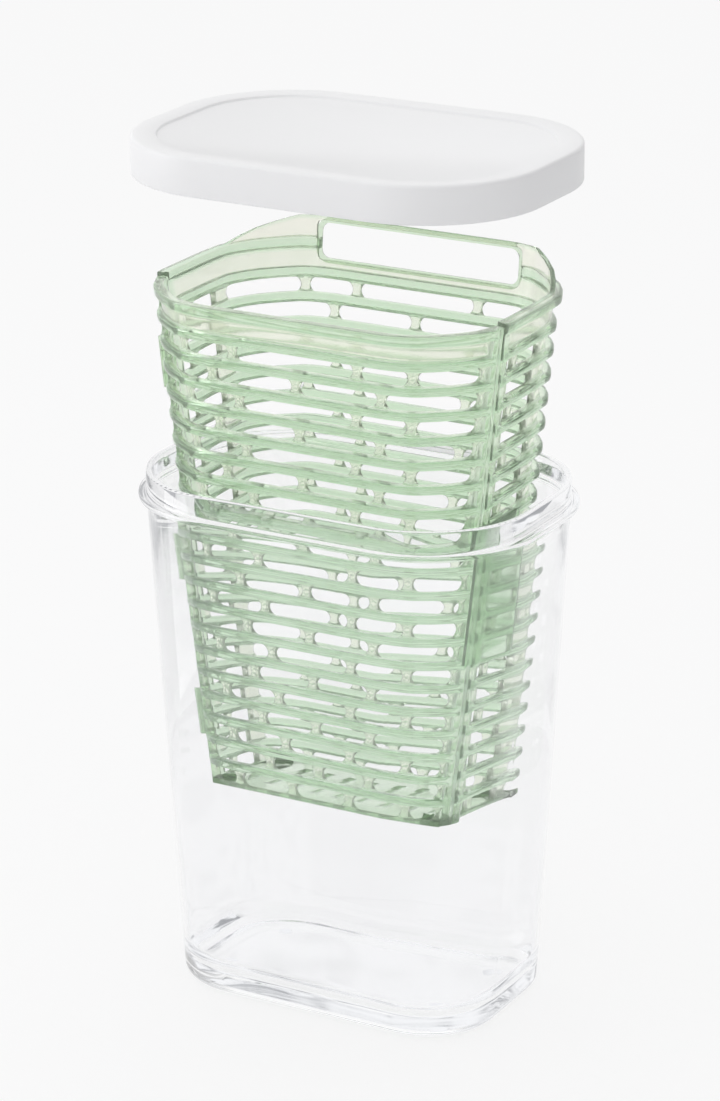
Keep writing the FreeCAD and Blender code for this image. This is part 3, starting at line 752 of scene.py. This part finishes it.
mint = translucent_green("translucent_green", True)
plain_mint = translucent_green("translucent_green_trim", False)
for piece in (front, rear, latch_plate):
    piece.data.materials.append(mint)
for piece in (basket_floor, grip_lip, lugs, knuckles):
    piece.data.materials.append(plain_mint)
for name in ("lower", "middle", "upper"):
    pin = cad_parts["hinge_pin_" + name]
    pin.data.materials.clear()
    pin.data.materials.append(plain_mint)

# A plain pale floor and soft light. The camera stands where the photograph was taken from.
FLOOR_CLEARANCE = 0.1 * MM
floor_mesh = bmesh.new()
bmesh.ops.create_grid(floor_mesh, x_segments=1, y_segments=1, size=6.0)
bmesh.ops.translate(floor_mesh, vec=(0, 0, -FLOOR_CLEARANCE), verts=floor_mesh.verts)
floor = finished(floor_mesh, "floor", smooth=False)


# Marks the rays that the camera sends, that gloss reflects and that clear plastic lets by.
def ray_kinds(tree):
    return [add(tree, "LightPath", output=kind)
            for kind in ("Is Camera Ray", "Is Glossy Ray", "Is Transmission Ray")]


PALE_GREY = (0.86, 0.86, 0.87, 1)
WHITE = (1, 1, 1, 1)
FLOOR_GLOW = 0.8


def pale_floor():
    material, tree = new_material("pale_floor")
    from_camera, glossy, through = ray_kinds(tree)
    seen = add(tree, "Math", {"operation": "ADD", "use_clamp": True},
               {0: from_camera + glossy, 1: through})
    matt = add(tree, "BsdfDiffuse", {}, {"Color": PALE_GREY})
    white = add(tree, "Emission", {}, {"Color": WHITE, "Strength": 1.0})
    shown(tree, add(tree, "MixShader", {}, {0: seen * FLOOR_GLOW, 1: matt, 2: white}))
    return material


floor.data.materials.append(pale_floor())

AZIMUTH = math.radians(29.47)
ELEVATION = math.radians(19.43)
ROLL = math.radians(-0.38)
DISTANCE = 1.7473
LOOK_AT = Vector((math.cos(AZIMUTH) * -5.74, math.sin(AZIMUTH) * -5.74, 205.99)) * MM
back = Vector((math.sin(AZIMUTH) * math.cos(ELEVATION), -math.cos(AZIMUTH) * math.cos(ELEVATION),
               math.sin(ELEVATION)))
right = Vector((math.cos(AZIMUTH), math.sin(AZIMUTH), 0))
up = back.cross(right)
turned_right = right * math.cos(ROLL) + up * math.sin(ROLL)
turned_up = up * math.cos(ROLL) - right * math.sin(ROLL)
lens = bpy.data.cameras.new("camera")
lens.sensor_width = 36.0
lens.lens = 134.0
lens.shift_x = 0.0137
lens.shift_y = -0.0141
camera = bpy.data.objects.new("camera", lens)
camera.matrix_world = Matrix.Translation(LOOK_AT + back * DISTANCE) @ Matrix(
    (turned_right, turned_up, back)).transposed().to_4x4()
bpy.context.scene.collection.objects.link(camera)
bpy.context.scene.camera = camera


def softbox(name, place, aim, size, watts):
    lamp = bpy.data.lights.new(name, "AREA")
    lamp.shape = "RECTANGLE"
    lamp.size, lamp.size_y = size
    lamp.energy = watts
    box = bpy.data.objects.new(name, lamp)
    box.location = place
    box.rotation_euler = (Vector(aim) - Vector(place)).to_track_quat("-Z", "Y").to_euler()
    bpy.context.scene.collection.objects.link(box)


MIDDLE_OF_KEEPER = (0, 0, 0.2)
softbox("top_light", (-0.2, 0.35, 1.5), MIDDLE_OF_KEEPER, (1.2, 1.2), 0.8)
softbox("left_light", (-1.3, -0.7, 0.7), MIDDLE_OF_KEEPER, (0.9, 1.4), 6.0)

# The room is white behind the keeper and above it, dim on the camera's right, less dim on
# its left and hardly dim on its own side, so that the clear walls show their edges.
SIDE_SPAN = (0.4, 0.95)
LIGHT_LEVEL, MORE_WHERE_SEEN = 0.93, 0.07
world = bpy.data.worlds.new("studio")
world.use_nodes = True
tree = world.node_tree
tree.nodes.clear()
direction = add(tree, "TexCoord", output="Generated")
shade = 1.0
for towards, dim in ((right, 0.75), (-right, 0.4), (back, 0.08)):
    facing = add(tree, "VectorMath", {"operation": "DOT_PRODUCT"}, {0: direction, 1: towards},
                 "Value")
    shade = shade - eased(tree, facing, SIDE_SPAN, (0.0, dim))
from_camera, glossy, through = ray_kinds(tree)
seen = add(tree, "Math", {"operation": "MAXIMUM"}, {0: glossy, 1: through})
shade = shade * (LIGHT_LEVEL + MORE_WHERE_SEEN * seen)
level = add(tree, "Math", {"operation": "MAXIMUM"}, {0: shade, 1: from_camera})
shown(tree, add(tree, "Background", {}, {"Color": WHITE, "Strength": level}), "OutputWorld")
bpy.context.scene.world = world
bpy.context.scene.view_settings.view_transform = "Standard"
